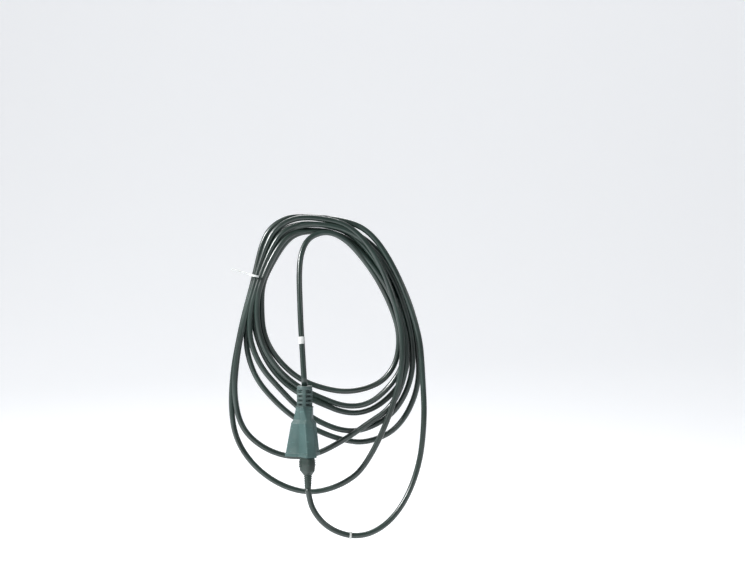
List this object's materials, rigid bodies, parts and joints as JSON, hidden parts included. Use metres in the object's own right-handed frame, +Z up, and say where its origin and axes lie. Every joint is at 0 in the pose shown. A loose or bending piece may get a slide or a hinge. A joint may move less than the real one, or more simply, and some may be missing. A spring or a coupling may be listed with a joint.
{
  "type": "extension cord",
  "caption": "Outdoor extension cord hung in a loose coil, with a lobed outlet block hanging in front and its own plug pushed into the block from below.",
  "frame": {"origin": "hang point: the middle of the underside of the coil's top, where a hook or peg carries it", "axes": "+Z up, +Y away from the viewer (into the wall or post), +X to the viewer's right"},
  "size_m": [0.3158, 0.0955, 0.5099],
  "materials": {
    "cord_jacket": "semi-gloss dark green vinyl jacket",
    "white_plastic": "white nylon tie and blank wrap",
    "brass": "stamped brass",
    "tinned_crimp": "tinned crimp",
    "black_wire": "black wire insulation",
    "white_wire": "white wire insulation",
    "green_wire": "green wire insulation",
    "inner_plastic": "rigid black inner moulding",
    "face_plastic": "dark green outlet face",
    "block_pvc": "dusty grey-green moulded vinyl",
    "moulded_pvc": "dark green moulded vinyl"
  },
  "bodies": {
    "cord_and_block": {"block_housing": "block_pvc", "outlet_face": "face_plastic", "contact_carrier": "inner_plastic", "hot_contacts": "brass", "neutral_contacts": "brass", "ground_contacts": "brass", "hot_bus": "brass", "neutral_bus": "brass", "ground_bus": "brass", "bus_spacers": "inner_plastic", "block_hot_wire": "black_wire", "block_neutral_wire": "white_wire", "block_ground_wire": "green_wire", "block_hot_crimp": "tinned_crimp", "block_neutral_crimp": "tinned_crimp", "block_ground_crimp": "tinned_crimp", "block_strain_relief": "moulded_pvc", "block_cord_end": "cord_jacket", "block_lead": "cord_jacket", "coil": "cord_jacket", "plug_loop": "cord_jacket", "coil_tie": "white_plastic", "loop_tie": "white_plastic", "lead_wrap": "white_plastic"},
    "plug": {"plug_body": "moulded_pvc", "plug_insert": "inner_plastic", "hot_blade": "brass", "neutral_blade": "brass", "ground_pin": "brass", "plug_hot_wire": "black_wire", "plug_neutral_wire": "white_wire", "plug_ground_wire": "green_wire", "plug_hot_crimp": "tinned_crimp", "plug_neutral_crimp": "tinned_crimp", "plug_ground_crimp": "tinned_crimp", "plug_strain_relief": "moulded_pvc", "plug_cord_end": "cord_jacket"}
  },
  "joints": [
    {"name": "plug_pull", "type": "slide", "parent": "cord_and_block", "child": "plug", "axis": [0, 0, -1], "range_m": [0, 0.03], "deforming": ["plug_loop"]}
  ]
}
